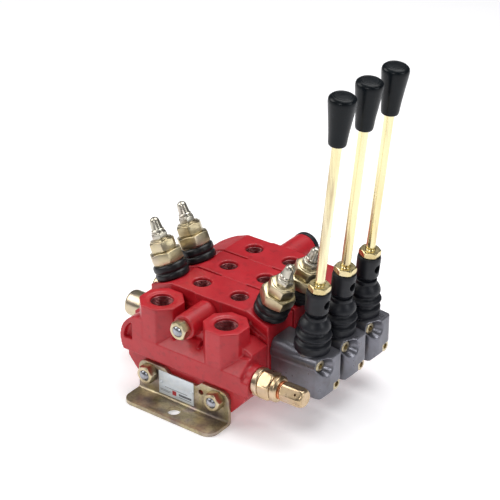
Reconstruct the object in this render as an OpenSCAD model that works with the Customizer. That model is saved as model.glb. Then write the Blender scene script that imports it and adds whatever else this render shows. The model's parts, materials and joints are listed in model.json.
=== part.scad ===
// Stacked hydraulic directional control valve with three hand levers.
// +X points to the levers, +Y along the stack from the inlet to the end section, +Z up.
// The origin is midway between the two bracket holes, on the foot plane. Millimetres.

/* [Section stack] */
// Width of one working section along the stack
pitch = 45; // [45:0.5:46]
// Height of the work port face above the foot plane
top_z = 110; // [109:0.5:111]
// Half width of the flat top face
top_half = 48; // [47:0.5:49]
// Half width of the stack over its end faces
side_x = 75; // [75:0.5:76]
// Slope of the two shoulders, degrees
shoulder_deg = 20.5; // [19:0.5:21.5]
// Depth of the relief around each joint face
joint_relief = 1.1; // [0.6:0.1:1.2]

/* [Ports] */
// Tapping diameter of the work ports (G1/2)
port_d = 19; // [18.6:0.1:19.2]
// Tapping diameter of the pressure and tank ports (G3/4)
inlet_port_d = 24; // [23.6:0.1:24.2]
// Depth of the tapped part of a port
port_depth = 17; // [15:1:18]
// Distance of each work port from the middle plane
work_port_x = 24; // [23:0.5:25]
// Distance of the pressure and tank ports from the middle plane
boss_x = 41; // [40:0.5:42]
// Width across flats of the octagonal port bosses
boss_af = 44.5; // [43:0.5:44.8]

/* [Spools] */
// Spool diameter
spool_d = 16; // [15:0.5:16]
// Height of the spool axes
spool_z = 53.5; // [53:0.5:55]
// Radial running clearance of spools and pins
running = 0.04; // [0.02:0.01:0.08]

/* [Tie rods and brackets] */
// Tie rod diameter (M12)
rod_d = 12; // [10:0.5:12]
// Width across flats of the tie rod nuts
nut_af = 18; // [18:0.5:19]
// Bracket sheet thickness
sheet = 4; // [3:0.5:4]
// Bracket width along X
bracket_w = 116; // [112:1:120]
// Diameter of the mounting hole in each foot
foot_hole_d = 14; // [11:0.5:14]
// Distance between the two mounting holes
hole_span = 250; // [246:1:252]

/* [Levers] */
// Outward lean of the levers at rest, degrees
lean = 5.9; // [5.5:0.1:6.2]
// Lever rod diameter
lever_d = 9.6; // [9:0.1:10]
// Knob length
knob_len = 51; // [48:1:54]
// Knob diameter at the top
knob_d = 27.5; // [26:0.5:28]

/* [Hidden] */
$fn = 64;

// small gap around threads and pressed rings, and a cutter's overrun
fit = 0.05;
over = 1;

stack = 1.5 * pitch;
inlet_front = -stack - pitch;
end_depth = 38;
end_back = stack + end_depth;
flange_front = -end_back - sheet;
shoulder_z = top_z - (side_x - top_half) * tan(shoulder_deg);
foot_half = 58;
foot_z = 14;
skirt_z = 34;

function section_y(i) = (i - 2) * pitch;
// x and z of the tie rods: one above the spools, two below
tie_rods_xz = [[0, 93.5], [-43, 27], [43, 27]];
// gallery centres: pressure in the middle, tank on both sides
pressure_xz = [0, 38];
tank_x = 50;
tank_z = 66;
gallery_r = 6;

boss_y = inlet_front + pitch / 2;
boss_z = top_z - 5.2;
bar_y = boss_y - 5;
bar_z = 57;
bar_r = 15;
bar_end = 84;

// ---- shared shapes ---------------------------------------------------------

module pipe_x(r, x0, x1, y, z) translate([x0, y, z]) rotate([0, 90, 0]) cylinder(r = r, h = x1 - x0);
module pipe_y(r, y0, y1, x, z) translate([x, y1, z]) rotate([90, 0, 0]) cylinder(r = r, h = y1 - y0);
module pipe_z(r, z0, z1, x, y) translate([x, y, z0]) cylinder(r = r, h = z1 - z0);
// an outline in X and Z, thick along Y
module slab_y(y0, y1) translate([0, y1, 0]) rotate([90, 0, 0]) linear_extrude(y1 - y0) children();
// an outline in Y and Z, thick along X
module slab_x(x0, x1) translate([x0, 0, 0]) rotate([90, 0, 90]) linear_extrude(x1 - x0) children();
module ring(r_in, r_out, h) difference() {
    cylinder(r = r_out, h = h);
    translate([0, 0, -over]) cylinder(r = r_in, h = h + 2 * over);
}
// a hexagon bar whose corners are turned off at both ends
module hex_bar(af, h, chamfer = 1) {
    corner_r = af / 2 / cos(30);
    turned_r = af / 2 * 0.96;
    intersection() {
        cylinder(r = corner_r, h = h, $fn = 6);
        rotate_extrude() polygon([
            [0, 0], [turned_r, 0], [corner_r + 0.1, chamfer],
            [corner_r + 0.1, h - chamfer], [turned_r, h], [0, h]
        ]);
    }
}
// a helical wire between z = 0 and z = height, over its own thickness
function helix_ring(p, wire_r, coil_r, turns, rise, steps, sides) = [
    for (k = [0 : sides - 1]) let (
        a = 360 * turns * p / steps,
        b = 360 * k / sides,
        r = coil_r + wire_r * cos(b)
    ) [r * cos(a), r * sin(a), wire_r + rise * p / steps + wire_r * sin(b)]
];
module coil_spring(coil_r, wire_r, height, turns) {
    sides = 6;
    steps = turns * 14;
    rise = height - 2 * wire_r;
    points = [
        for (p = [0 : steps]) each helix_ring(p, wire_r, coil_r, turns, rise, steps, sides)
    ];
    walls = [
        for (p = [0 : steps - 1]) for (k = [0 : sides - 1]) let (n = (k + 1) % sides)
            [p * sides + k, p * sides + n, (p + 1) * sides + n, (p + 1) * sides + k]
    ];
    first_end = [[for (k = [sides - 1 : -1 : 0]) k]];
    last_end = [[for (k = [0 : sides - 1]) steps * sides + k]];
    polyhedron(points, concat(walls, first_end, last_end));
}

// ---- castings --------------------------------------------------------------

module section_outline() polygon([
    [-foot_half, foot_z], [foot_half, foot_z], [side_x, skirt_z], [side_x, shoulder_z],
    [top_half, top_z], [-top_half, top_z], [-side_x, shoulder_z], [-side_x, skirt_z]
]);
// tapped port with its entry chamfer, opening upwards at z
module port_cut(x, y, z, d = port_d) translate([x, y, z]) rotate_extrude() polygon([
    [0, -port_depth], [d / 2, -port_depth], [d / 2, -over], [d / 2 + over, 0], [d / 2 + over, over], [0, over]
]);
module tie_rod_holes(y0, y1) for (p = tie_rods_xz) pipe_y(rod_d / 2 + 0.3, y0, y1, p[0], p[1]);

seal_groove_depth = 2;
seal_groove_w = 2.6;
tank_seal_r = 8.5;
pressure_seal_r = 7.5;
// face seal grooves around the galleries, cut into a face that looks along -Y at y
module seal_grooves(y) {
    for (side = [-1, 1]) translate([side * tank_x, y, tank_z]) seal_groove(tank_seal_r);
    translate([pressure_xz[0], y, pressure_xz[1]]) seal_groove(pressure_seal_r);
}
module seal_groove(r) rotate([90, 0, 0]) translate([0, 0, -seal_groove_depth])
    ring(r - seal_groove_w / 2, r + seal_groove_w / 2, seal_groove_depth + over);

// port relief valve frame: origin on its spot face in the shoulder, z along the valve
relief_x = 61.5;
relief_deg = 23;
spot_depth = 0.85;
spot_r = 18.9;
relief_z = top_z - (relief_x - top_half) * tan(shoulder_deg) - spot_depth;
module on_shoulder(side, y) translate([side * relief_x, y, relief_z])
    rotate([0, side * relief_deg, 0]) children();
relief_bore_r = 11;
relief_bore_depth = 26;

spool_r = spool_d / 2;
groove_r = 11.5;
groove_w = 7;
groove_xs = [-44, -26, -11, 11, 26, 44];
seal_r = 11;
seal_w = 4;
left_seal_x = -68;
cap_spigot_r = 10.5;
cap_spigot_len = 5;
check_r = 7.5;
check_top = 30;
check_seat_r = 4.5;
screw_r = 4;
screw_head_r = 6.3;
screw_head_h = 6;
// screws that hold a lever housing: y from the section centre, z, x under the head
housing_screw_yzx = [[-10.6, 71.4, 125], [10.8, 41.8, 130.5]];

// the last section has no port relief valves and a rounded back corner
module working_section(i, last = false) {
    y = section_y(i);
    y0 = y - pitch / 2;
    y1 = y + pitch / 2;
    land_half = 16;
    difference() {
        union() {
            slab_y(y0 + joint_relief, y1 - joint_relief) section_outline();
            slab_y(y0, y1) intersection() {
                section_outline();
                union() {
                    translate([-land_half, 0]) square([2 * land_half, top_z]);
                    translate([-side_x + 12, 20]) square([2 * side_x - 24, 74]);
                }
            }
        }
        // cast pockets in the front face, beside the joint land
        for (side = [-1, 1]) slab_y(y0 - over, y0 + 4) polygon([
            [side * 52, 94.5], [side * 73, 85], [side * 73, 94], [side * 52, 102]
        ]);
        for (side = [-1, 1]) {
            port_cut(side * work_port_x, y, top_z);
            pipe_z(6.5, spool_z, top_z - port_depth + over, side * work_port_x, y);
            if (!last) relief_cavity(side, y);
            pipe_y(gallery_r, y0 - over, y1 + over, side * tank_x, tank_z);
        }
        pipe_y(5, y0 - over, y1 + over, pressure_xz[0], pressure_xz[1]);
        // spool bore, its annular grooves, seal groove and the end cap's counterbore
        pipe_x(spool_r + running, -side_x - over, side_x + over, y, spool_z);
        for (x = groove_xs) pipe_x(groove_r, x - groove_w / 2, x + groove_w / 2, y, spool_z);
        pipe_x(seal_r, side_x - seal_w, side_x + over, y, spool_z);
        pipe_x(seal_r, left_seal_x, left_seal_x + seal_w, y, spool_z);
        pipe_x(cap_spigot_r, -side_x - over, -side_x + cap_spigot_len, y, spool_z);
        // load check cavity, its seat and the bridge to the spool
        pipe_z(check_r, foot_z - over, check_top, 0, y);
        pipe_z(check_seat_r, check_top - over, pressure_xz[1], 0, y);
        pipe_x(3, -11, 11, y, 26);
        for (x = [-11, 11]) pipe_z(3, 26, spool_z - spool_r, x, y);
        for (p = housing_screw_yzx)
            pipe_x(screw_r + fit, side_x - 14, side_x + over, y + p[0], p[1]);
        tie_rod_holes(y0 - over, y1 + over);
        seal_grooves(y0);
        if (last) corner_round(y1);
    }
}
// passage from the work port to the relief valve, then on to the tank gallery
module relief_cavity(side, y) {
    port_side = side > 0 ? work_port_x : -relief_x + 10;
    pipe_x(5, port_side, port_side + relief_x - 10 - work_port_x, y, 86);
    on_shoulder(side, y) {
        translate([0, 0, -relief_bore_depth])
            cylinder(r = relief_bore_r, h = relief_bore_depth + over);
        translate([0, 0, -40]) cylinder(r = 6, h = 20);
        cylinder(r = spot_r, h = 8);
    }
}
corner_r = 20;
// cutter that rounds the back left vertical edge of the last working section
module corner_round(y1) difference() {
    translate([-side_x - over, y1 - corner_r, 0]) cube([corner_r + over, corner_r + over, top_z + over]);
    pipe_z(corner_r, -over, top_z + 2 * over, -side_x + corner_r, y1 - corner_r);
}

module work_section_1() color("firebrick") working_section(1);
module work_section_2() color("firebrick") working_section(2);
module work_section_3() color("firebrick") working_section(3, last = true);

tie_boss_r = 13;
tie_boss_front = inlet_front + 5.5;
lobe_r = 29.5;
lobe_x = -50;
lobe_z = 59.5;
lobe_back = inlet_front + 16;
inlet_spot_r = 16.2;
// front edge and back edge of the slope on top of the cross bar: [y, z]
slope_front = [inlet_front, 65];
slope_back = [inlet_front + 15.5, 78];

module inlet_section() color("firebrick") difference() {
    union() {
        // lower block behind the bracket, and the upper block with its sloping shoulders
        slab_y(-end_back, -stack) polygon([
            [-foot_half, foot_z], [foot_half, foot_z], [side_x, skirt_z], [side_x, 50], [-side_x, 50],
            [-side_x, skirt_z]
        ]);
        slab_y(-stack - 26, -stack) polygon([
            [-side_x, 45], [side_x, 45], [side_x, 81], [60, 87], [-60, 87], [-side_x, 81]
        ]);
        // cross bar around the main relief cavity, and the slope above it
        pipe_x(bar_r, -70, bar_end, bar_y, bar_z);
        slab_x(-70, side_x) polygon([
            [inlet_front, 45], slope_front, slope_back, [-stack, slope_back[1]], [-stack, 45]
        ]);
        slab_x(-70, bar_end) polygon([
            [inlet_front, 45], [inlet_front, 60], [bar_y - bar_r * cos(30), bar_z + bar_r * sin(30)],
            [bar_y, bar_z], [bar_y + bar_r, bar_z], [bar_y + bar_r, 45]
        ]);
        slab_y(inlet_front, lobe_back) intersection() {
            translate([lobe_x, lobe_z]) circle(r = lobe_r);
            translate([lobe_x - lobe_r, 45]) square([lobe_r, 2 * lobe_r]);
        }
        for (side = [-1, 1]) translate([side * boss_x, boss_y, 45]) rotate([0, 0, 22.5])
            cylinder(d = boss_af / cos(22.5), h = boss_z - 45, $fn = 8);
        pipe_y(tie_boss_r, tie_boss_front, -stack, tie_rods_xz[0][0], tie_rods_xz[0][1]);
    }
    // cast pocket inside the rim of the left lobe
    slab_y(inlet_front - over, inlet_front + 6) intersection() {
        translate([lobe_x, lobe_z]) circle(r = lobe_r - 5);
        translate([lobe_x - lobe_r, 59]) square([lobe_r - 13.4, lobe_r]);
    }
    // valleys beside the tie rod boss
    for (side = [-1, 1]) slab_y(inlet_front - over, -stack - 26) polygon([
        [side * 14, 72], [side * 18, 72], [side * 18, top_z], [side * 14, top_z]
    ]);
    for (side = [-1, 1]) {
        port_cut(side * boss_x, boss_y, boss_z, inlet_port_d);
        pipe_z(inlet_spot_r, boss_z - 0.7, boss_z + over, side * boss_x, boss_y);
        pipe_z(7, bar_z, boss_z - port_depth + over, side * boss_x, boss_y);
    }
    // pressure port to relief cavity and pressure gallery
    pipe_x(6, -46, 30, bar_y, bar_z);
    pipe_z(5, pressure_xz[1], bar_z, 0, boss_y);
    pipe_y(5, boss_y - 5, -stack + over, pressure_xz[0], pressure_xz[1]);
    // tank galleries, joined behind the ports
    pipe_y(gallery_r, boss_y - 5, -stack + over, tank_x, tank_z);
    pipe_y(gallery_r, -stack - 12, -stack + over, -tank_x, tank_z);
    pipe_x(4, -tank_x, tank_x, -stack - 8, 72);
    pipe_x(relief_barrel_r + fit, relief_in, bar_end + over, bar_y, bar_z);
    tie_rod_holes(inlet_front - over, -stack + over);
}

module end_section() color("firebrick") difference() {
    boss_r = 16;
    union() {
        slab_y(stack, end_back) polygon([
            [-foot_half, foot_z], [foot_half, foot_z], [side_x - 3, skirt_z], [side_x - 3, 70],
            [52, 82], [-46, 82], [-60, 70], [-60, skirt_z]
        ]);
        pipe_y(boss_r, stack, end_back - plug_seat, tie_rods_xz[0][0], tie_rods_xz[0][1]);
    }
    pipe_y(plug_r + 0.4, end_back - plug_seat, end_back + over, tie_rods_xz[0][0], tie_rods_xz[0][1]);
    for (side = [-1, 1]) pipe_y(gallery_r, stack - over, stack + 12, side * tank_x, tank_z);
    pipe_x(4, -tank_x, tank_x, stack + 8, 66);
    pipe_y(5, stack - over, stack + 12, pressure_xz[0], pressure_xz[1]);
    pipe_y(plug_spigot_r + fit, end_back - nut_h - 2, end_back + 2, tie_rods_xz[0][0], tie_rods_xz[0][1]);
    tie_rod_holes(stack - over, end_back + over);
    seal_grooves(stack);
}

// ---- stack hardware --------------------------------------------------------

nut_h = 10;
plug_spigot_r = 12.5;
plug_r = 16.4;
plug_rim = 7.5;
plug_seat = 2;
upper_rod_front = tie_boss_front - nut_h - 2.5;
lower_rod_front = flange_front - nut_h - 2.5;
// seals lie in grooves at the front of each working section and of the end section
module section_seals() color("black") for (y = [section_y(1), section_y(2), section_y(3), 2 * pitch])
    translate([0, y - pitch / 2, 0]) {
        for (side = [-1, 1]) face_seal(side * tank_x, tank_z, tank_seal_r);
        face_seal(pressure_xz[0], pressure_xz[1], pressure_seal_r);
    }
seal_wire_r = 0.95;
module face_seal(x, z, r) translate([x, seal_groove_depth / 2, z]) rotate([90, 0, 0])
    rotate_extrude() translate([r, 0]) circle(r = seal_wire_r);

// a rod from y0 to y1 with domed ends
module stud(x, z, y0, y1) {
    dome = 2;
    translate([x, y1, z]) rotate([90, 0, 0]) rotate_extrude() polygon([
        [0, 0], [3, 0.3], [rod_d / 2, dome], [rod_d / 2, y1 - y0 - dome], [3, y1 - y0 - 0.3], [0, y1 - y0]
    ]);
}
module tie_rods() color("dimgray") {
    upper = tie_rods_xz[0];
    stud(upper[0], upper[1], upper_rod_front, end_back - 0.5);
    for (p = [tie_rods_xz[1], tie_rods_xz[2]]) stud(p[0], p[1], lower_rod_front, -lower_rod_front);
}
module tie_nut(p, y0) translate([p[0], y0 + nut_h, p[1]]) rotate([90, 0, 0]) difference() {
    rotate([0, 0, 12]) hex_bar(nut_af, nut_h, 1.4);
    translate([0, 0, -over]) cylinder(r = rod_d / 2 + fit, h = nut_h + 2 * over);
}
module tie_rod_nuts() color("goldenrod") {
    tie_nut(tie_rods_xz[0], tie_boss_front - nut_h);
    tie_nut(tie_rods_xz[0], end_back - nut_h - 2);
    for (p = [tie_rods_xz[1], tie_rods_xz[2]]) {
        tie_nut(p, flange_front - nut_h);
        tie_nut(p, -flange_front);
    }
}
module boss_plug() color("black") {
    y = end_back - plug_seat + plug_rim;
    translate([tie_rods_xz[0][0], y, tie_rods_xz[0][1]]) rotate([90, 0, 0]) rotate_extrude() polygon([
        [0, 0], [plug_r - 2.2, 0], [plug_r, 2], [plug_r, plug_rim], [plug_spigot_r, plug_rim],
        [plug_spigot_r, plug_rim + 2], [10.8, plug_rim + 2], [10.8, 4], [0, 4]
    ]);
}

// ---- brackets and plate ----------------------------------------------------

flange_top = 38;
foot_reach = 29.5;
module flange_outline() {
    w = bracket_w / 2;
    r = 10;
    difference() {
        union() {
            translate([-w, 0]) square([2 * w, flange_top - r]);
            translate([-w + r, 0]) square([2 * w - 2 * r, flange_top]);
            for (side = [-1, 1]) translate([side * (w - r), flange_top - r]) circle(r = r);
        }
        // shallow dip in the upper edge, between the nuts
        polygon([[-25, flange_top + 1], [-17, flange_top - 6], [17, flange_top - 6], [25, flange_top + 1]]);
    }
}
module foot_outline() {
    w = bracket_w / 2;
    r = 12;
    translate([-w, flange_front - foot_reach + r]) square([2 * w, foot_reach - r + sheet]);
    translate([-w + r, flange_front - foot_reach]) square([2 * w - 2 * r, foot_reach]);
    for (side = [-1, 1]) translate([side * (w - r), flange_front - foot_reach + r]) circle(r = r);
}
module bracket() {
    bend_r = 3;
    difference() {
        union() {
            slab_y(flange_front, flange_front + sheet) flange_outline();
            linear_extrude(sheet) foot_outline();
            // inside of the bend
            difference() {
                translate([-bracket_w / 2, flange_front - bend_r, sheet])
                    cube([bracket_w, bend_r, bend_r]);
                pipe_x(bend_r, -bracket_w, bracket_w, flange_front - bend_r, sheet + bend_r);
            }
        }
        // outside of the bend
        difference() {
            translate([-bracket_w, flange_front + sheet - bend_r - 1, -1])
                cube([2 * bracket_w, bend_r + 2, bend_r + 2]);
            pipe_x(bend_r + 1, -bracket_w - 1, bracket_w + 1, flange_front + sheet - bend_r - 1, bend_r + 1);
            translate([-bracket_w, flange_front + sheet - bend_r - 2, -2])
                cube([2 * bracket_w, 1, bend_r + 5]);
        }
        pipe_z(foot_hole_d / 2, -over, sheet + over, 0, -hole_span / 2);
        for (p = [tie_rods_xz[1], tie_rods_xz[2]])
            pipe_y(rod_d / 2 + 0.3, flange_front - over, flange_front + sheet + over, p[0], p[1]);
        for (side = [-1, 1])
            pipe_y(3, flange_front - over, flange_front + sheet + over, side * 23, 27);
    }
}
module front_bracket() color("darkkhaki") difference() {
    bracket();
    for (x = rivet_xs) pipe_y(rivet_r + fit, flange_front - over, flange_front + sheet + over, x, rivet_z);
}
module rear_bracket() color("darkkhaki") mirror([0, 1, 0]) bracket();

plate_x0 = -31;
plate_w = 45;
plate_z0 = 7;
plate_h = 27;
plate_t = 0.8;
rivet_r = 1.4;
rivet_z = 21;
rivet_xs = [plate_x0 + 2.8, plate_x0 + plate_w - 2.8];
module name_plate() color("white") difference() {
    slab_y(flange_front - plate_t, flange_front) translate([plate_x0, plate_z0]) square([plate_w, plate_h]);
    for (x = rivet_xs) pipe_y(rivet_r + fit, flange_front - 2, flange_front + over, x, rivet_z);
}
module plate_rivets() color("silver") for (x = rivet_xs)
    translate([x, flange_front, rivet_z]) rotate([90, 0, 0]) rotate_extrude() polygon([
        [0, -sheet], [rivet_r, -sheet], [rivet_r, plate_t], [2.2, plate_t], [1.6, plate_t + 0.8],
        [0, plate_t + 1]
    ]);

// ---- main relief valve -----------------------------------------------------

relief_in = 28;
relief_barrel_r = 10;
relief_flange_x = bar_end;
relief_hex_x = relief_flange_x + 7;
relief_neck_x = relief_hex_x + 14;
washer_x = relief_neck_x + 8;
washer_t = 1.8;
cap_x = washer_x + washer_t;
cap_end = 141;
relief_bore = 5;
// everything in the valve lies on one axis along X
module on_relief_axis(x) translate([x, bar_y, bar_z]) rotate([0, 90, 0]) children();

module main_relief_body() color("goldenrod") difference() {
    union() {
        on_relief_axis(relief_in) rotate_extrude() polygon([
            [0, 0], [relief_barrel_r, 0], [relief_barrel_r, 6], [8.5, 6], [8.5, 20],
            [relief_barrel_r, 20], [relief_barrel_r, relief_flange_x - relief_in],
            [14, relief_flange_x - relief_in], [15, relief_flange_x - relief_in + 1],
            [15, relief_hex_x - relief_in - 1], [14, relief_hex_x - relief_in],
            [0, relief_hex_x - relief_in]
        ]);
        on_relief_axis(relief_hex_x) rotate([0, 0, 10]) hex_bar(27, relief_neck_x - relief_hex_x, 1.8);
        on_relief_axis(relief_neck_x) rotate_extrude() polygon([
            [0, 0], [12.2, 0], [13.8, 1.6], [13.8, 5.4], [11.4, 8], [0, 8]
        ]);
        on_relief_axis(washer_x) cylinder(r = 7.5, h = 9);
    }
    on_relief_axis(relief_in - over) cylinder(r = 3, h = 6);
    on_relief_axis(relief_in + 4) cylinder(r = relief_bore, h = 100);
    pipe_z(2.5, bar_z - 10, bar_z + 10, relief_in + 13, bar_y);
    pipe_y(2.5, bar_y - 10, bar_y + 10, relief_in + 13, bar_z);
}
module main_relief_washer() color("sandybrown") on_relief_axis(washer_x) ring(7.5 + fit, 9.6, washer_t);
cap_turn = 20;
module main_relief_cap() color("goldenrod") difference() {
    on_relief_axis(cap_x) intersection() {
        rotate([0, 0, cap_turn]) hex_bar(18, cap_end - cap_x, 1.6);
        rotate_extrude() polygon([
            [0, 0], [12, 0], [12, cap_end - cap_x - 5], [9, cap_end - cap_x - 1.2],
            [7.5, cap_end - cap_x], [0, cap_end - cap_x]
        ]);
    }
    on_relief_axis(cap_x - over) cylinder(r = 7.5 + fit, h = 9);
    on_relief_axis(cap_x) cylinder(r = 6, h = cap_end - cap_x - 7);
    // sealing wire hole through two opposite flats
    on_relief_axis(cap_end - 8) rotate([0, 0, cap_turn + 30]) rotate([0, 90, 0])
        cylinder(r = 1.3, h = 24, center = true);
}
relief_poppet_end = relief_in + 24;
relief_spring_len = 32;
module main_relief_poppet() color("silver") on_relief_axis(relief_in) rotate_extrude() polygon([
    [0, 3], [2.3, 3], [2.9, 4], [3.8, 5.5], [2, 6.5], [2, 18],
    [relief_bore - running, 18], [relief_bore - running, 24], [0, 24]
]);
module main_relief_spring() color("silver") on_relief_axis(relief_poppet_end + 0.2)
    coil_spring(3.6, 0.7, relief_spring_len, 9);
module main_relief_adjuster() color("goldenrod") on_relief_axis(relief_poppet_end + relief_spring_len + 0.5)
    difference() {
        rotate_extrude() polygon([
            [0, 0], [relief_bore - fit, 0], [relief_bore - fit, 35], [4, 36], [0, 36]
        ]);
        translate([0, 0, 31]) cylinder(d = 5 / cos(30), h = 6, $fn = 6);
    }

// ---- port relief valves on working sections 1 and 2 ------------------------

module at_port_reliefs() for (side = [-1, 1]) for (i = [1, 2]) on_shoulder(side, section_y(i)) children();

collar_h = 17;
big_hex_h = 13;
small_hex_h = 13.5;
body_top = collar_h + big_hex_h + small_hex_h;
lock_h = 7;
module port_relief_collars() color("black") at_port_reliefs() rotate_extrude() polygon([
    [12, 0.1], [16, 0.1], [17.6, 1.6], [18.1, 4], [17.6, 6.6], [16.3, 8.2], [17.6, 9.8], [18.1, 12.4],
    [17.4, 15], [15.8, 16.6], [12, collar_h]
]);
module port_relief_bodies() color("darkkhaki") at_port_reliefs() difference() {
    union() {
        translate([0, 0, -relief_bore_depth + 1]) cylinder(r = relief_bore_r - fit, h = relief_bore_depth);
        cylinder(r = 11.9, h = collar_h);
        translate([0, 0, collar_h]) ring(9, 15.4, 1.2);
        translate([0, 0, collar_h + 0.6]) rotate([0, 0, 20]) hex_bar(32, big_hex_h - 0.6, 1.6);
        translate([0, 0, collar_h + big_hex_h]) rotate([0, 0, 8]) hex_bar(25, small_hex_h - 2.2, 1.4);
        translate([0, 0, body_top - 2.6]) cylinder(r = 11.4, h = 1.8);
        translate([0, 0, body_top - 1]) cylinder(r = 8.4, h = 1);
    }
    translate([0, 0, -relief_bore_depth]) cylinder(r = 3, h = relief_bore_depth);
    translate([0, 0, -relief_bore_depth + 6]) cylinder(r = 4.5, h = 100);
}
module port_relief_nuts() color("gold") at_port_reliefs() translate([0, 0, body_top]) difference() {
    union() {
        rotate([0, 0, 15]) hex_bar(16, lock_h - 1.5, 1);
        translate([0, 0, lock_h - 1.5]) cylinder(r = 7.4, h = 1.5);
    }
    translate([0, 0, -over]) cylinder(r = 4 + fit, h = lock_h + 2 * over);
}
adjuster_tip = 66.2;
module port_relief_adjusters() color("silver") at_port_reliefs() {
    translate([0, 0, 20]) cylinder(r = 4, h = body_top + lock_h - 20);
    translate([0, 0, body_top + lock_h]) difference() {
        h = adjuster_tip - body_top - lock_h;
        rotate_extrude() polygon([
            [0, 0], [6.9, 0], [6.9, 2.2], [6.1, 3], [5.2, h - 4], [4.6, h - 2], [2.8, h - 0.5], [2.2, h], [0, h]
        ]);
        for (side = [-1, 1]) translate([side * 9.2, 0, h / 2 + 5]) cube([8, 20, h], center = true);
    }
}
module port_relief_poppets() color("silver") at_port_reliefs()
    translate([0, 0, -relief_bore_depth + 6.2]) rotate_extrude() polygon([
        [0, -2], [2, -2], [2.8, -0.2], [4.5 - running, 1.5], [4.5 - running, 12], [2, 12.5], [2, 24], [0, 24]
    ]);

// ---- spools and their ends -------------------------------------------------

module at_sections() for (i = [1 : 3]) translate([0, section_y(i), 0]) children();

cap_tip = -121;
cap_r = 14.4;
cap_foot = 8;
cap_bore_r = 9.5;
module spool_end_caps() color("darkkhaki") at_sections() difference() {
    union() {
        // round cup with a hexagon at its foot
        translate([cap_tip, 0, spool_z]) rotate([0, 90, 0]) rotate_extrude() polygon([
            [0, 0], [cap_r - 3.6, 0], [cap_r - 2, 0.7], [cap_r - 0.7, 2], [cap_r, 3.6],
            [cap_r, -side_x - cap_tip - cap_foot + over], [0, -side_x - cap_tip - cap_foot + over]
        ]);
        translate([-side_x - cap_foot, 0, spool_z]) rotate([0, 90, 0]) hex_bar(30, cap_foot, 1.6);
        pipe_x(cap_spigot_r - fit, -side_x - over, -side_x + cap_spigot_len - 0.3, 0, spool_z);
    }
    pipe_x(cap_bore_r, cap_tip + 4, -side_x + cap_spigot_len + over, 0, spool_z);
}
module spool_seals() color("black") at_sections() {
    for (x = [left_seal_x, side_x - seal_w]) translate([x + 0.1, 0, spool_z]) rotate([0, 90, 0])
        ring(spool_r + running, seal_r - fit, seal_w - 0.2);
}
spool_shoulder_x = -side_x - 1;
spool_end_x = 118.5;
ball_r = 5;
slot_gap = 0.25;
module spool(i) color("silver") translate([0, section_y(i), 0]) difference() {
    tail_x = -109;
    union() {
        pipe_x(spool_r, spool_shoulder_x, spool_end_x, 0, spool_z);
        pipe_x(4, tail_x, spool_shoulder_x, 0, spool_z);
        pipe_x(5.5, tail_x, tail_x + 4, 0, spool_z);
    }
    // metering necks between the lands
    for (x = [-35, -18.5, 0, 18.5, 35]) translate([x - 4, 0, spool_z]) rotate([0, 90, 0])
        ring(5.5, spool_r + over, 8);
    // slot for the lever ball, open at the top
    translate([ball_x - ball_r - slot_gap, -spool_r - over, spool_z - ball_r - 0.6])
        cube([2 * (ball_r + slot_gap), spool_d + 2 * over, spool_d]);
    translate([ball_x - 9, -spool_r - over, spool_z + 4]) cube([30, spool_d + 2 * over, spool_d]);
}
module spool_1() spool(1);
module spool_2() spool(2);
module spool_3() spool(3);

// the spring and its two seats, held between the spool shoulder and the tail's head
module centring_spring(i) color("slategray") translate([0, section_y(i), spool_z]) rotate([0, 90, 0]) {
    outer_x = -104.8;
    seat_t = 2;
    for (x = [outer_x, spool_shoulder_x - seat_t - 0.1]) translate([0, 0, x])
        ring(4.3, cap_bore_r - 0.3, seat_t);
    translate([0, 0, outer_x + seat_t + 0.1])
        coil_spring(6.6, 1.1, spool_shoulder_x - outer_x - 2 * seat_t - 0.3, 5);
}
module centring_spring_1() centring_spring(1);
module centring_spring_2() centring_spring(2);
module centring_spring_3() centring_spring(3);

check_plug_top = 20;
module load_check_plugs() color("darkkhaki") at_sections() difference() {
    pipe_z(check_r - fit, foot_z + 0.2, check_plug_top, 0, 0);
    translate([0, 0, foot_z]) cylinder(d = 7 / cos(30), h = 4.2, $fn = 6);
}
module load_check_poppet(i) color("silver") translate([0, section_y(i), check_top]) rotate_extrude() polygon([
    [0, -7], [2.4, -7], [2.4, -4], [6, -4], [6, -0.1], [check_seat_r - 0.3, -0.1], [2.5, 2], [0, 2]
]);
module load_check_poppet_1() load_check_poppet(1);
module load_check_poppet_2() load_check_poppet(2);
module load_check_poppet_3() load_check_poppet(3);
module load_check_spring(i) color("slategray") translate([0, section_y(i), check_plug_top + 0.1])
    coil_spring(4.4, 0.6, check_top - 4 - check_plug_top - 0.2, 3);
module load_check_spring_1() load_check_spring(1);
module load_check_spring_2() load_check_spring(2);
module load_check_spring_3() load_check_spring(3);

// ---- lever housings --------------------------------------------------------

// the lever axis leans outward and passes through this point of its lock nut
lock_nut_x = 120.6;
lock_nut_z = 152.8;
pivot_z = 83.6;
pivot_x = lock_nut_x - (lock_nut_z - pivot_z) * tan(lean);
arm = (pivot_z - spool_z) / cos(lean);
ball_x = pivot_x - arm * sin(lean);
// frame of one lever: origin on its pivot, z along the lever
module on_lever(i) translate([pivot_x, section_y(i), pivot_z]) rotate([0, lean, 0]) children();

deck = -1.5;
neck_r = 15.7;
neck_top = 6;
pin_r = 2.5;
housing_x1 = 140;
housing_bottom = 35.3;
housing_half = 17;
front_round = 12;
back_round = 8;
ridge_r = 8.4;
notch_top = 48.6;
housing_travel = 8;
// plan of a housing between its two long sides, with round outer corners
module housing_plan() {
    x_front = housing_x1 - front_round;
    x_back = housing_x1 - back_round;
    translate([side_x, -housing_half]) square([x_front - side_x, 2 * housing_half]);
    translate([side_x, -housing_half + front_round])
        square([housing_x1 - side_x, 2 * housing_half - front_round - back_round]);
    translate([side_x, 0]) square([x_back - side_x, housing_half]);
    translate([x_front, -housing_half + front_round]) circle(r = front_round);
    translate([x_back, housing_half - back_round]) circle(r = back_round);
}
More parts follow.
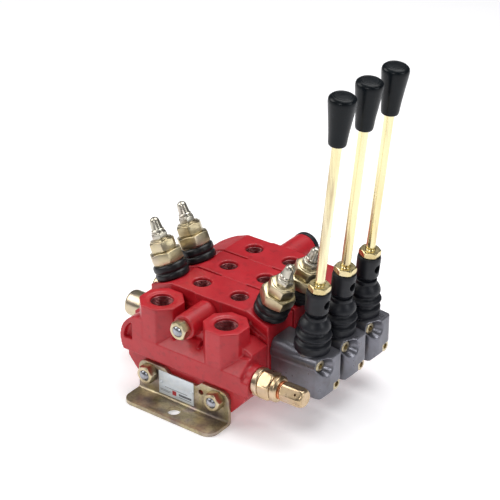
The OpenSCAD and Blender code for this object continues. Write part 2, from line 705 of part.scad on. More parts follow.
// section through a housing across the levers: its two upper edges are round
module housing_arch() {
    far_r = 4;
    deep = 100;
    for (edge = [[-1, ridge_r], [1, far_r]]) {
        translate([edge[0] * (housing_half - edge[1]), deck - edge[1]]) circle(r = edge[1]);
        translate([edge[0] > 0 ? 0 : -housing_half, -deep])
            square([housing_half, deep + deck - edge[1]]);
    }
    translate([-housing_half + ridge_r, -deep])
        square([2 * housing_half - ridge_r - far_r, deep + deck]);
}
module lever_housing(i) color("darkgray") difference() {
    y = section_y(i);
    upper = housing_screw_yzx[0];
    lower = housing_screw_yzx[1];
    union() {
        intersection() {
            translate([0, y, 0]) linear_extrude(120) housing_plan();
            on_lever(i) slab_x(-60, 60) housing_arch();
            slab_y(y - 50, y + 50) polygon([
                [side_x, housing_bottom + 3], [side_x + 3, housing_bottom],
                [housing_x1 - 6, housing_bottom], [housing_x1, housing_bottom + 6],
                [housing_x1, 72], [housing_x1 - 5, 120], [side_x, 120]
            ]);
        }
        on_lever(i) translate([0, 0, deck - 6]) cylinder(r = neck_r, h = neck_top - deck + 6);
        // ridge around the upper screw
        pipe_x(ridge_r, side_x, upper[2] + screw_head_h - 0.5, y + upper[0], upper[1]);
    }
    // room for the spool end, the lever's lower arm and its hub
    pipe_x(spool_r + 0.6, side_x - over, spool_end_x + housing_travel, y, spool_z);
    translate([ball_x - 14, y - ball_r - 0.2, spool_z]) cube([28, 2 * ball_r + 0.4, 24]);
    on_lever(i) intersection() {
        translate([0, 0, -7]) cylinder(r = 11, h = 40);
        translate([-11, -9.2, -8]) cube([22, 18.4, 40]);
    }
    on_lever(i) rotate([90, 0, 0]) translate([0, 0, -neck_r]) cylinder(r = pin_r + 0.02, h = 2 * neck_r);
    for (p = [upper, lower]) {
        pipe_x(screw_r + 0.3, side_x - over, housing_x1, y + p[0], p[1]);
        pipe_x(screw_head_r + 0.5, p[2], housing_x1 + over, y + p[0], p[1]);
    }
    // flared mouth around the upper screw's head
    translate([upper[2] + screw_head_h, y + upper[0], upper[1]]) rotate([0, 90, 0])
        cylinder(r1 = screw_head_r + 0.5, r2 = screw_head_r + 5, h = housing_x1 - upper[2] - screw_head_h + over);
    // corner cut back for the lower screw
    translate([lower[2], y + 0.5, 0]) cube([20, 30, notch_top]);
}
module lever_housing_1() lever_housing(1);
module lever_housing_2() lever_housing(2);
module lever_housing_3() lever_housing(3);

module housing_screws() color("goldenrod") at_sections() for (p = housing_screw_yzx)
    translate([0, p[0], p[1]]) rotate([0, 90, 0]) difference() {
        rotate_extrude() polygon([
            [0, side_x - 12], [screw_r, side_x - 12], [screw_r, p[2]], [screw_head_r, p[2]],
            [screw_head_r, p[2] + screw_head_h - 0.6], [screw_head_r - 0.6, p[2] + screw_head_h],
            [0, p[2] + screw_head_h]
        ]);
        translate([0, 0, p[2] + screw_head_h - 3.5]) cylinder(d = 6 / cos(30), h = 4, $fn = 6);
    }
module pivot_pins() color("silver") for (i = [1 : 3]) on_lever(i) rotate([90, 0, 0])
    translate([0, 0, -15]) cylinder(r = pin_r, h = 30);

// ---- levers ----------------------------------------------------------------

socket_base = 42.5;
socket_top = (149 - pivot_z) / cos(lean);
lever_nut_h = 7.4;
lever_nut_turn = 33;
cross_hole_z = 53.5;
rod_r = lever_d / 2;
module lever_socket(i) color("black") on_lever(i) difference() {
    union() {
        rotate([90, 0, 0]) translate([0, 0, -8.5]) cylinder(r = 6, h = 17);
        cylinder(r = 7, h = 29);
        rotate_extrude() polygon([
            [0, 28], [9, 28], [9, socket_base - 3], [12, socket_base + 1], [12.3, socket_top - 3],
            [11.6, socket_top], [0, socket_top]
        ]);
        translate([0, 0, -arm]) cylinder(r = 3, h = arm);
        translate([0, 0, -arm]) sphere(r = ball_r);
    }
    rotate([90, 0, 0]) translate([0, 0, -10]) cylinder(r = pin_r + running, h = 20);
    rotate([0, 90, 0]) translate([-cross_hole_z, 0, -14]) cylinder(r = 4.6, h = 28);
    translate([0, 0, cross_hole_z + 5.4]) cylinder(r = rod_r + fit, h = 20);
}
module lever_socket_1() lever_socket(1);
module lever_socket_2() lever_socket(2);
module lever_socket_3() lever_socket(3);

module lever_nut(i) color("goldenrod") on_lever(i) translate([0, 0, socket_top]) difference() {
    rotate([0, 0, lever_nut_turn]) hex_bar(20, lever_nut_h, 1.4);
    translate([0, 0, -over]) cylinder(r = rod_r + fit, h = lever_nut_h + 2 * over);
}
module lever_nut_1() lever_nut(1);
module lever_nut_2() lever_nut(2);
module lever_nut_3() lever_nut(3);

knob_top = (359.5 - pivot_z) / cos(lean);
knob_base = knob_top - knob_len;
module lever_rod(i) color("palegoldenrod") on_lever(i) translate([0, 0, cross_hole_z + 5.6])
    cylinder(r = rod_r, h = knob_base + 35 - cross_hole_z - 5.6);
module lever_rod_1() lever_rod(1);
module lever_rod_2() lever_rod(2);
module lever_rod_3() lever_rod(3);

// points of a quarter circle of radius r around [x, z], from angle a to a + 90
function quarter(x, z, r, a) = [for (t = [0 : 15 : 90]) [x + r * cos(a + t), z + r * sin(a + t)]];
module lever_knob(i) color("black") on_lever(i) difference() {
    top_r = knob_d / 2;
    base_r = 9;
    top_round = 4;
    rotate_extrude() polygon(concat(
        [[0, knob_base]], quarter(base_r - 2, knob_base + 2, 2, -90),
        quarter(top_r - top_round, knob_top - top_round, top_round, 0), [[0, knob_top]]
    ));
    translate([0, 0, knob_base - over]) cylinder(r = rod_r + fit, h = 36.5);
    translate([0, 0, knob_top - 0.5]) ring(6.8, 7.6, 2);
}
module lever_knob_1() lever_knob(1);
module lever_knob_2() lever_knob(2);
module lever_knob_3() lever_knob(3);

// bellows: three folds, the last with a long round shoulder towards the lever
fold_pitch = 9.9;
first_fold = 5.8;
last_fold = first_fold + 2 * fold_pitch;
boot_neck_r = 11.2;
boot_neck_z = 34.5;
boot_top = 38.5;
boot_wall = 2.2;
last_fold_r = 16.3;
function envelope(z) = z < 16 ? 16.5 : 16.5 - (z - 16) * 0.23;
function shoulder(z) = pow((z - last_fold) / (boot_neck_z - last_fold), 1.7);
function bellows_r(z) = z > last_fold ? last_fold_r - (last_fold_r - boot_neck_r) * shoulder(z)
    : envelope(z) + 2 * cos(360 * (z - first_fold) / fold_pitch);
module lever_boot(i) color("black") on_lever(i) rotate_extrude() {
    steps = 24;
    fold_zs = [for (k = [0 : steps]) first_fold + k * (boot_neck_z - first_fold) / steps];
    outer = [for (z = fold_zs) [bellows_r(z), z]];
    inner = [for (k = [steps : -1 : 0]) [max(bellows_r(fold_zs[k]) - boot_wall, 9.3), fold_zs[k]]];
    polygon(concat(
        [[neck_r + fit, deck], [18.5, deck], [18.5, 4]], outer, [[boot_neck_r, boot_top], [9.3, boot_top]],
        inner, [[neck_r + fit, 5]]
    ));
}
module lever_boot_1() lever_boot(1);
module lever_boot_2() lever_boot(2);
module lever_boot_3() lever_boot(3);

inlet_section();
work_section_1();
work_section_2();
work_section_3();
end_section();
section_seals();
tie_rods();
tie_rod_nuts();
boss_plug();
front_bracket();
rear_bracket();
name_plate();
plate_rivets();
main_relief_body();
main_relief_washer();
main_relief_cap();
main_relief_adjuster();
main_relief_poppet();
main_relief_spring();
port_relief_collars();
port_relief_bodies();
port_relief_nuts();
port_relief_adjusters();
port_relief_poppets();
spool_end_caps();
spool_seals();
housing_screws();
pivot_pins();
load_check_plugs();
load_check_poppet_1();
load_check_poppet_2();
load_check_poppet_3();
load_check_spring_1();
load_check_spring_2();
load_check_spring_3();
lever_housing_1();
lever_housing_2();
lever_housing_3();
spool_1();
spool_2();
spool_3();
centring_spring_1();
centring_spring_2();
centring_spring_3();
lever_socket_1();
lever_socket_2();
lever_socket_3();
lever_nut_1();
lever_nut_2();
lever_nut_3();
lever_rod_1();
lever_rod_2();
lever_rod_3();
lever_knob_1();
lever_knob_2();
lever_knob_3();
lever_boot_1();
lever_boot_2();
lever_boot_3();
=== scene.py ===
"""Looks of a stacked hydraulic valve with three hand levers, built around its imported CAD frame."""
import json
import math

import bmesh
import bpy
import numpy as np
from mathutils import Matrix, Vector

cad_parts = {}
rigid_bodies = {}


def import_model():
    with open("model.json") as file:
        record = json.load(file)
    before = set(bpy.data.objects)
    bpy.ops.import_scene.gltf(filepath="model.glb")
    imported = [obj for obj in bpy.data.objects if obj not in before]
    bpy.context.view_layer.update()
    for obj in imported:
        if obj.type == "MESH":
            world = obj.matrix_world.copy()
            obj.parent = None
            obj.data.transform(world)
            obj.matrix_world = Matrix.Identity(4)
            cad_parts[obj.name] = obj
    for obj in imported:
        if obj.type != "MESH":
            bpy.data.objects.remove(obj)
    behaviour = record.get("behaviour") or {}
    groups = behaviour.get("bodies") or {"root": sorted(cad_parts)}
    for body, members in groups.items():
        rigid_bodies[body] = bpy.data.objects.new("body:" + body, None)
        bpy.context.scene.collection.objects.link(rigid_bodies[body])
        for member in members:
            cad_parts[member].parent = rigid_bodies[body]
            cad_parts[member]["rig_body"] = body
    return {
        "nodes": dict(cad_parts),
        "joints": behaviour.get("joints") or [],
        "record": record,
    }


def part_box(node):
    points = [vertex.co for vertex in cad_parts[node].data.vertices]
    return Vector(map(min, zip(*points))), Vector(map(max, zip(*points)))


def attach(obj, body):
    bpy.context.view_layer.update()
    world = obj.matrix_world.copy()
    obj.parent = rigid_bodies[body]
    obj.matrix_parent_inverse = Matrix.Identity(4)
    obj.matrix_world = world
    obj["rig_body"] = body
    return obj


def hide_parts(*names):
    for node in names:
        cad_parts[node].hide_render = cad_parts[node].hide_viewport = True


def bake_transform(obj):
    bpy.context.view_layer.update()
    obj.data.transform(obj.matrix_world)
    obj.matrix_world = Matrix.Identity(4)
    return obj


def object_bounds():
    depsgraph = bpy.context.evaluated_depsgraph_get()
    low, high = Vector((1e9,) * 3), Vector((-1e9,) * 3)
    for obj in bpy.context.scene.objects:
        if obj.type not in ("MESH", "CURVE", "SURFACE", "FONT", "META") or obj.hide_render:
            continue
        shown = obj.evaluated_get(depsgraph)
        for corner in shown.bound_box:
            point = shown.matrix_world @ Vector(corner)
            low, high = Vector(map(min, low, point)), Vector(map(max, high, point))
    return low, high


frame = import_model()
cad_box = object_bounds()
record = frame["record"]
MM = 0.001
SECTIONS = (1, 2, 3)
SECTION_Y = {1: -45 * MM, 2: 0.0, 3: 45 * MM}


# ---- camera, floor and light ------------------------------------------------

def make_camera():
    azimuth, elevation = math.radians(36.54), math.radians(28.36)
    distance, target = 1.733, Vector((0.0126, -0.0123, 0.1446))
    back = Vector((
        math.sin(azimuth) * math.cos(elevation),
        -math.cos(azimuth) * math.cos(elevation),
        math.sin(elevation),
    ))
    data = bpy.data.cameras.new("camera")
    data.sensor_width = 36
    data.lens = 122.5
    camera = bpy.data.objects.new("camera", data)
    camera.location = target + back * distance
    camera.rotation_mode = "QUATERNION"
    camera.rotation_quaternion = (-back).to_track_quat("-Z", "Y")
    bpy.context.scene.collection.objects.link(camera)
    bpy.context.scene.camera = camera


def area_light(name, place, aim, size, power, colour=(1, 1, 1)):
    data = bpy.data.lights.new(name, "AREA")
    data.shape = "RECTANGLE"
    data.size, data.size_y = size
    data.energy = power
    data.color = colour
    lamp = bpy.data.objects.new(name, data)
    lamp.location = place
    lamp.rotation_mode = "QUATERNION"
    lamp.rotation_quaternion = (Vector(aim) - Vector(place)).to_track_quat("-Z", "Y")
    bpy.context.scene.collection.objects.link(lamp)


def make_studio():
    middle = (0, 0, 0.08)
    area_light("key_left", (-1.35, -0.75, 1.35), middle, (1.3, 1.3), 21, (1, 0.99, 0.97))
    area_light("front", (0.6, -1.6, 1.1), middle, (0.5, 0.5), 7)
    area_light("fill_right", (1.7, 0.2, 0.9), middle, (0.5, 0.9), 6, (0.94, 0.97, 1))
    area_light("top_back", (0.1, 0.5, 1.7), middle, (1.5, 1.2), 24)
    world = bpy.data.worlds.new("studio")
    bpy.context.scene.world = world
    world.use_nodes = True
    background = world.node_tree.nodes["Background"]
    background.inputs["Color"].default_value = (0.93, 0.94, 1.0, 1)
    background.inputs["Strength"].default_value = 0.09
    bpy.context.scene.view_settings.view_transform = "Standard"

    bpy.ops.mesh.primitive_plane_add(size=14, location=(0, 0, cad_box[0].z))
    floor = bpy.context.object
    floor.name = "floor"
    paint = bpy.data.materials.new("floor_paper")
    paint.use_nodes = True
    shader = paint.node_tree.nodes["Principled BSDF"]
    shader.inputs["Base Color"].default_value = (0.93, 0.925, 0.94, 1)
    shader.inputs["Roughness"].default_value = 0.85
    shader.inputs["Emission Color"].default_value = (1, 1, 1, 1)
    shader.inputs["Emission Strength"].default_value = 0.26
    floor.data.materials.append(paint)


# ---- materials --------------------------------------------------------------

class Paint:
    """A node material: a short way to chain procedural textures into one Principled shader."""

    def __init__(self, name, roughness=0.4, metallic=0.0):
        self.material = bpy.data.materials.new(name)
        self.material.use_nodes = True
        self.tree = self.material.node_tree
        self.shader = self.tree.nodes["Principled BSDF"]
        self.shader.inputs["Metallic"].default_value = metallic
        self.shader.inputs["Roughness"].default_value = roughness
        self.place = self.tree.nodes.new("ShaderNodeTexCoord").outputs["Object"]

    def link(self, a, b):
        self.tree.links.new(a, b)

    def stretched(self, scale):
        """Object coordinates scaled per axis, for grain that runs one way."""
        node = self.tree.nodes.new("ShaderNodeMapping")
        node.inputs["Scale"].default_value = scale
        self.link(self.place, node.inputs["Vector"])
        return node.outputs["Vector"]

    def noise(self, scale, detail=4.0, rough=0.55, place=None):
        node = self.tree.nodes.new("ShaderNodeTexNoise")
        node.inputs["Scale"].default_value = scale
        node.inputs["Detail"].default_value = detail
        node.inputs["Roughness"].default_value = rough
        self.link(place or self.place, node.inputs["Vector"])
        return node.outputs["Fac"]

    def ramp(self, value, stops):
        """Colours or greys along value: stops are (position, colour or number)."""
        node = self.tree.nodes.new("ShaderNodeValToRGB")
        points = node.color_ramp.elements
        while len(points) < len(stops):
            points.new(0.5)
        for point, (position, colour) in zip(points, stops):
            point.position = position
            grey = isinstance(colour, (int, float))
            point.color = (colour, colour, colour, 1) if grey else (*colour, 1)
        self.link(value, node.inputs["Fac"])
        return node.outputs["Color"]

    def mix(self, share, a, b):
        """a where share is 0, b where it is 1. a and b are sockets or colours."""
        node = self.tree.nodes.new("ShaderNodeMix")
        node.data_type = "RGBA"
        for key, value in ((0, share), (6, a), (7, b)):
            if isinstance(value, bpy.types.NodeSocket):
                self.link(value, node.inputs[key])
            else:
                node.inputs[key].default_value = (*value, 1) if key else value
        return node.outputs[2]

    def times(self, a, b):
        node = self.tree.nodes.new("ShaderNodeMath")
        node.operation = "MULTIPLY"
        for key, value in ((0, a), (1, b)):
            if isinstance(value, bpy.types.NodeSocket):
                self.link(value, node.inputs[key])
            else:
                node.inputs[key].default_value = value
        return node.outputs[0]

    def edges(self, low, high):
        """1 on outer edges and 0 elsewhere."""
        node = self.tree.nodes.new("ShaderNodeNewGeometry")
        return self.ramp(node.outputs["Pointiness"], [(low, 0), (high, 1)])

    def colour(self, value):
        self.link(value, self.shader.inputs["Base Color"])

    def roughness(self, value, low, high):
        self.link(self.ramp(value, [(0.25, low), (0.75, high)]), self.shader.inputs["Roughness"])

    def bump(self, *layers):
        """Each layer is (height socket, strength, depth in metres)."""
        normal = None
        for height, strength, depth in layers:
            node = self.tree.nodes.new("ShaderNodeBump")
            node.inputs["Strength"].default_value = strength
            node.inputs["Distance"].default_value = depth
            self.link(height, node.inputs["Height"])
            if normal is not None:
                self.link(normal, node.inputs["Normal"])
            normal = node.outputs["Normal"]
        self.link(normal, self.shader.inputs["Normal"])


def red_enamel():
    p = Paint("red_enamel")
    shade = p.ramp(p.noise(22, 3), [(0.3, (0.41, 0.007, 0.014)), (0.7, (0.52, 0.012, 0.022))])
    dusty = p.mix(p.ramp(p.noise(150, 5), [(0.52, 0), (0.72, 0.5)]), shade, (0.25, 0.006, 0.012))
    # Pale pink on sharp edges, broken up by noise: partly chipped paint, partly a painted highlight along the
    # edges.
    chips_and_edge_highlight = p.times(p.edges(0.56, 0.62), p.ramp(p.noise(70, 2), [(0.56, 0), (0.59, 1)]))
    p.colour(p.mix(chips_and_edge_highlight, dusty, (0.86, 0.62, 0.58)))
    p.roughness(p.noise(60, 4), 0.34, 0.50)
    p.shader.inputs["Coat Weight"].default_value = 0.15
    p.shader.inputs["Coat Roughness"].default_value = 0.22
    p.bump((p.noise(480, 4), 0.30, 0.0005), (p.noise(1800, 2), 0.20, 0.0002))
    return p.material


def port_thread_shade():
    p = Paint("port_thread_shade", metallic=0.6)
    # Metallic thread lining coloured dark red: painted shade inside the port bore.
    p.colour(p.ramp(p.noise(260, 3), [(0.35, (0.10, 0.012, 0.016)), (0.7, (0.30, 0.10, 0.10))]))
    p.roughness(p.noise(300, 3), 0.25, 0.45)
    return p.material


def housing_grey():
    p = Paint("housing_grey", metallic=0.7)
    shade = p.ramp(p.noise(30, 4), [(0.3, (0.13, 0.13, 0.145)), (0.7, (0.23, 0.23, 0.265))])
    stained = p.mix(p.ramp(p.noise(120, 5), [(0.56, 0), (0.75, 0.5)]), shade, (0.10, 0.085, 0.08))
    # Pale grey on sharp edges: partly worn paint, partly a painted highlight along the edges.
    p.colour(p.mix(p.edges(0.56, 0.64), stained, (0.50, 0.49, 0.52)))
    p.roughness(p.noise(90, 4), 0.24, 0.40)
    p.bump((p.noise(420, 4), 0.35, 0.0005), (p.noise(1700, 3), 0.25, 0.0002))
    return p.material


def chromate(name, pale, deep, rosy, roughness):
    """Yellow passivated zinc: a metal whose tint drifts between three colours."""
    p = Paint(name, metallic=1.0)
    drift = p.noise(38, 4)
    base = p.ramp(drift, [(0.3, deep), (0.5, pale), (0.72, rosy)])
    stained = p.mix(p.ramp(p.noise(114, 3), [(0.55, 0), (0.85, 0.35)]), base, deep)
    p.colour(stained)
    p.roughness(p.noise(114, 4), *roughness)
    p.bump((p.noise(1400, 3), 0.03, 0.0001))
    return p.material


def bracket_zinc():
    """Rolled sheet: mottled olive, straw and violet patches, with pale cut edges."""
    p = Paint("bracket_zinc", metallic=0.9)
    drift = p.noise(34, 5, 0.6, p.stretched((1, 1, 0.7)))
    base = p.ramp(drift, [(0.30, (0.16, 0.125, 0.14)), (0.44, (0.33, 0.27, 0.20)), (0.56, (0.50, 0.43, 0.25)),
                          (0.70, (0.42, 0.32, 0.30))])
    speckled = p.mix(p.ramp(p.noise(420, 4), [(0.5, 0), (0.7, 0.6)]), base, (0.20, 0.16, 0.13))
    p.colour(p.mix(p.edges(0.53, 0.60), speckled, (0.80, 0.70, 0.60)))
    p.roughness(p.noise(180, 4), 0.30, 0.5)
    p.bump((p.noise(900, 4), 0.3, 0.0003), (p.noise(160, 3), 0.15, 0.0004))
    return p.material


def bare_steel(name, colour, roughness=(0.2, 0.35)):
    p = Paint(name, metallic=1.0)
    dark = tuple(c * 0.6 for c in colour)
    p.colour(p.ramp(p.noise(120, 4), [(0.3, dark), (0.65, colour)]))
    p.roughness(p.noise(300, 3), *roughness)
    p.bump((p.noise(1500, 2), 0.12, 0.0002))
    return p.material


def rubber(name, colour, dusted, roughness=(0.42, 0.62)):
    p = Paint(name)
    dust = p.ramp(p.noise(55, 5), [(0.55, 0), (0.85, 0.35)])
    p.colour(p.mix(dust, colour, dusted))
    p.roughness(p.noise(160, 4), *roughness)
    p.shader.inputs["Specular IOR Level"].default_value = 0.35
    p.bump((p.noise(1100, 3), 0.06, 0.0002))
    return p.material


def knob_plastic():
    p = Paint("knob_plastic")
    p.colour(p.ramp(p.noise(60, 4), [(0.3, (0.002, 0.0035, 0.005)), (0.8, (0.004, 0.007, 0.010))]))
    p.roughness(p.noise(220, 4), 0.26, 0.38)
    p.shader.inputs["Specular IOR Level"].default_value = 0.22
    p.bump((p.noise(700, 3), 0.14, 0.0002), (p.noise(90, 2), 0.08, 0.0006))
    return p.material


def socket_black():
    p = Paint("socket_black")
    worn = p.times(p.edges(0.54, 0.62), 0.35)
    shade = p.ramp(p.noise(90, 4), [(0.3, (0.006, 0.0065, 0.009)), (0.75, (0.014, 0.015, 0.020))])
    p.colour(p.mix(worn, shade, (0.16, 0.16, 0.18)))
    p.roughness(p.noise(240, 4), 0.30, 0.5)
    p.shader.inputs["Specular IOR Level"].default_value = 0.32
    p.bump((p.noise(900, 4), 0.2, 0.0003))
    return p.material


def copper():
    p = Paint("copper", metallic=1.0)
    p.colour(p.ramp(p.noise(300, 3), [(0.3, (0.60, 0.20, 0.09)), (0.7, (0.80, 0.34, 0.18))]))
    p.roughness(p.noise(400, 3), 0.3, 0.45)
    return p.material


def plate_white():
    p = Paint("plate_white", metallic=0.15)
    p.colour(p.ramp(p.noise(200, 3), [(0.3, (0.70, 0.77, 0.82)), (0.8, (0.82, 0.86, 0.89))]))
    p.roughness(p.noise(500, 3, place=p.stretched((1, 1, 12))), 0.28, 0.4)
    p.bump((p.noise(600, 3, place=p.stretched((1, 1, 10))), 0.06, 0.0001))
    return p.material


def print_ink(name, dark, light):
    p = Paint(name)
    p.colour(p.ramp(p.noise(500, 3), [(0.3, dark), (0.8, light)]))
    p.roughness(p.noise(700, 2), 0.4, 0.55)
    return p.material


def rod_zinc():
    """Drawn bar: straw zinc that runs along the rod, with long brown streaks that are a painted reflection of
    the dark surroundings and the red casting.
    """
    p = Paint("rod_zinc", metallic=1.0)
    drift = p.noise(30, 4, place=p.stretched((1, 1, 0.12)))
    base = p.ramp(drift, [(0.3, (0.80, 0.66, 0.34)), (0.5, (0.90, 0.82, 0.50)), (0.72, (0.92, 0.86, 0.68))])
    # Long brown streaks along the rod: painted reflection of the dark surroundings and the red casting.
    brown_reflection_streaks = p.ramp(p.noise(95, 4, place=p.stretched((1, 1, 0.07))), [(0.56, 0), (0.68, 0.7)])
    p.colour(p.mix(brown_reflection_streaks, base, (0.40, 0.28, 0.17)))
    p.roughness(p.noise(200, 4, place=p.stretched((1, 1, 0.1))), 0.18, 0.34)
    p.bump((p.noise(900, 3, place=p.stretched((1, 1, 0.15))), 0.12, 0.0002))
    return p.material


def make_materials():
    return {
        "painted_casting": red_enamel(),
        "port_thread_shade": port_thread_shade(),
        "housing_paint": housing_grey(),
        "bracket_zinc": bracket_zinc(),
        "zinc_yellow": chromate("zinc_yellow", (0.60, 0.52, 0.34), (0.38, 0.31, 0.19), (0.58, 0.48, 0.39),
                                (0.27, 0.38)),
        "zinc_bright": chromate("zinc_bright", (0.58, 0.55, 0.47), (0.40, 0.36, 0.29), (0.54, 0.47, 0.42),
                                (0.28, 0.38)),
        "relief_gold": chromate("relief_gold", (0.62, 0.46, 0.28), (0.40, 0.29, 0.17), (0.62, 0.49, 0.38),
                                (0.24, 0.36)),
        "copper_washer": copper(),
        "dark_steel": bare_steel("dark_steel", (0.42, 0.43, 0.47)),
        "ground_steel": bare_steel("ground_steel", (0.66, 0.66, 0.68), (0.12, 0.24)),
        "spring_steel": bare_steel("spring_steel", (0.34, 0.35, 0.37)),
        "seal_rubber": rubber("seal_rubber", (0.010, 0.010, 0.012), (0.035, 0.036, 0.044), (0.30, 0.42)),
        "boot_rubber": rubber("boot_rubber", (0.007, 0.008, 0.012), (0.035, 0.036, 0.044), (0.36, 0.54)),
        "socket_black": socket_black(),
        "knob_plastic": knob_plastic(),
        "nut_gold": chromate("nut_gold", (0.74, 0.62, 0.33), (0.46, 0.34, 0.15), (0.72, 0.62, 0.42),
                             (0.22, 0.34)),
        "rod_zinc": rod_zinc(),
        "plate_white": plate_white(),
        "plate_ink": print_ink("plate_ink", (0.10, 0.11, 0.13), (0.22, 0.23, 0.26)),
        "plate_red": print_ink("plate_red", (0.45, 0.03, 0.04), (0.58, 0.06, 0.07)),
    }


# ---- mesh tools --------------------------------------------------------------

def add_piece(name, mesh, slot, body="root", replaces=(), sharp=35, look=None):
    """Puts a mesh in the scene as one piece of the object, with its material, body and CAD nodes."""
    piece = bpy.data.objects.new(name, mesh)
    bpy.context.scene.collection.objects.link(piece)
    mesh.materials.clear()
    mesh.materials.append(MATERIALS[look or slot])
    mesh.shade_smooth()
    if sharp:
        mesh.set_sharp_from_angle(angle=math.radians(sharp))
    if body:
        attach(piece, body)
    if replaces:
        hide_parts(*replaces)
    return piece


def applied(piece):
    """The piece's mesh with its modifiers applied."""
    graph = bpy.context.evaluated_depsgraph_get()
    return bpy.data.meshes.new_from_object(piece.evaluated_get(graph))


def welded(node):
    """An editable copy of a CAD node's mesh, its split corners joined."""
    mesh = bmesh.new()
    mesh.from_mesh(frame["nodes"][node].data)
    bmesh.ops.remove_doubles(mesh, verts=mesh.verts, dist=1e-6)
    return mesh


def islands(node):
    """(lowest, highest) corner of each separate solid in a CAD node, in order of y, x and z."""
    mesh = welded(node)
    left, found = set(mesh.verts), []
    for seed in mesh.verts:
        if seed not in left:
            continue
        left.discard(seed)
        group, open_ends = [], [seed]
        while open_ends:
            vert = open_ends.pop()
            group.append(tuple(vert.co))
            for edge in vert.link_edges:
                other = edge.other_vert(vert)
                if other in left:
                    left.discard(other)
                    open_ends.append(other)
        points = np.array(group)
        found.append((Vector(points.min(0)), Vector(points.max(0))))
    mesh.free()
    return sorted(found, key=lambda c: (round(c[0].y, 4), round(c[0].x, 4), round(c[0].z, 4)))


def rounded_copy(name, node, voxel, passes):
    """The CAD node's own shape with soft, cast edges: a fine remesh, then a few smoothing passes."""
    source = bpy.data.objects.new("work", frame["nodes"][node].data.copy())
    bpy.context.scene.collection.objects.link(source)
    weld = source.modifiers.new("weld", "WELD")
    weld.merge_threshold = 1e-6
    remesh = source.modifiers.new("remesh", "REMESH")
    remesh.mode = "VOXEL"
    remesh.voxel_size = voxel
    smooth = source.modifiers.new("smooth", "SMOOTH")
    smooth.factor = 0.5
    smooth.iterations = passes
    mesh = applied(source)
    bpy.data.objects.remove(source)
    return add_piece(name, mesh, SLOT_OF[node], BODY_OF[node], [node], sharp=0)


def bevelled_copy(name, node, width, look=None):
    """The CAD node's own shape with its sharp edges broken by a narrow bevel."""
    mesh = welded(node)
    bmesh.ops.dissolve_limit(mesh, angle_limit=math.radians(1), verts=mesh.verts, edges=mesh.edges)
    data = bpy.data.meshes.new(name)
    mesh.to_mesh(data)
    mesh.free()
    source = bpy.data.objects.new("work", data)
    bpy.context.scene.collection.objects.link(source)
    bevel = source.modifiers.new("edges", "BEVEL")
    bevel.width = width
    bevel.segments = 2
    bevel.angle_limit = math.radians(35)
    data = applied(source)
    bpy.data.objects.remove(source)
    return add_piece(name, data, SLOT_OF[node], BODY_OF[node], [node], look=look)


def softened(profile, radius, steps=6):
    """A profile of (radius, z) points in mm with each inner corner swapped for a small curve."""
    points = [Vector(p) for p in profile]
    out = [tuple(points[0])]
    for before, here, after in zip(points, points[1:], points[2:]):
        reach = min(radius, (here - before).length * 0.45, (after - here).length * 0.45)
        start = here + (before - here).normalized() * reach
        end = here + (after - here).normalized() * reach
        for k in range(steps + 1):
            t = k / steps
            out.append(tuple(start * (1 - t) ** 2 + here * 2 * t * (1 - t) + end * t ** 2))
    return out + [tuple(points[-1])]


def hexagon(across, z0, z1, chamfer):
    """Rings of a hexagon whose corners are turned off at both ends. The sizes are in mm."""
    flat, corner = across / 2, across / math.sqrt(3)
    steps, rise = 5, []
    for k in range(steps):
        share = k / (steps - 1)
        limit = flat * 0.955 + (corner * 1.01 - flat * 0.955) * share
        rise.append((flat, chamfer * share, 6, limit))
    up = [(r, z0 + z, n, limit) for r, z, n, limit in rise]
    return up + [(r, z1 - z, n, limit) for r, z, n, limit in reversed(rise)]


def thread(radius, z0, z1, pitch=1.5):
    """Rings of a screw thread's ridges, in mm."""
    depth, rings = 0.5 * pitch, []
    for k in range(int((z1 - z0) / pitch)):
        z = z0 + k * pitch
        rings += [(radius - depth, z + 0.15 * pitch), (radius, z + 0.5 * pitch), (radius, z + 0.65 * pitch)]
    return rings


CORNER_POWER = 70


def ring_radii(ring, angles):
    radii = np.full(len(angles), float(ring[0]))
    if len(ring) > 2:
        flats, limit = ring[2:]
        step = 2 * np.pi / flats
        radii = ring[0] / np.cos(angles % step - step / 2)
        radii = (radii ** -CORNER_POWER + limit ** -CORNER_POWER) ** (-1 / CORNER_POWER)
    return radii


def turned_mesh(name, rings, place, closed=False, segments=96):
    """A lathe shape from rings in mm: (radius, z), or (apothem, z, flats, limit) for a polygon
    no wider than limit. A closed shape joins its last ring to its first."""
    angles = np.arange(segments) * 2 * np.pi / segments
    verts = []
    for ring in rings:
        radii = ring_radii(ring, angles)
        verts += [(r * math.cos(a), r * math.sin(a), ring[1]) for r, a in zip(radii, angles)]
    count, faces = len(rings), []
    for i in range(count if closed else count - 1):
        a, b = i * segments, (i + 1) % count * segments
        for j in range(segments):
            k = (j + 1) % segments
            faces.append((a + j, a + k, b + k, b + j))
    if not closed:
        for ring, base, flip in ((rings[0], 0, True), (rings[-1], (count - 1) * segments, False)):
            verts.append((0, 0, ring[1]))
            for j in range(segments):
                pair = (base + j, base + (j + 1) % segments)
                faces.append((*(pair[::-1] if flip else pair), len(verts) - 1))
    mesh = bpy.data.meshes.new(name)
    mesh.from_pydata(verts, [], faces)
    mesh.transform(place @ Matrix.Scale(MM, 4))
    work = bmesh.new()
    work.from_mesh(mesh)
    bmesh.ops.recalc_face_normals(work, faces=work.faces)
    work.to_mesh(mesh)
    work.free()
    return mesh


def turned(name, rings, place, node, closed=False, segments=96, sharp=25):
    mesh = turned_mesh(name, rings, place, closed, segments)
    return add_piece(name, mesh, SLOT_OF[node], BODY_OF[node], [node], sharp)


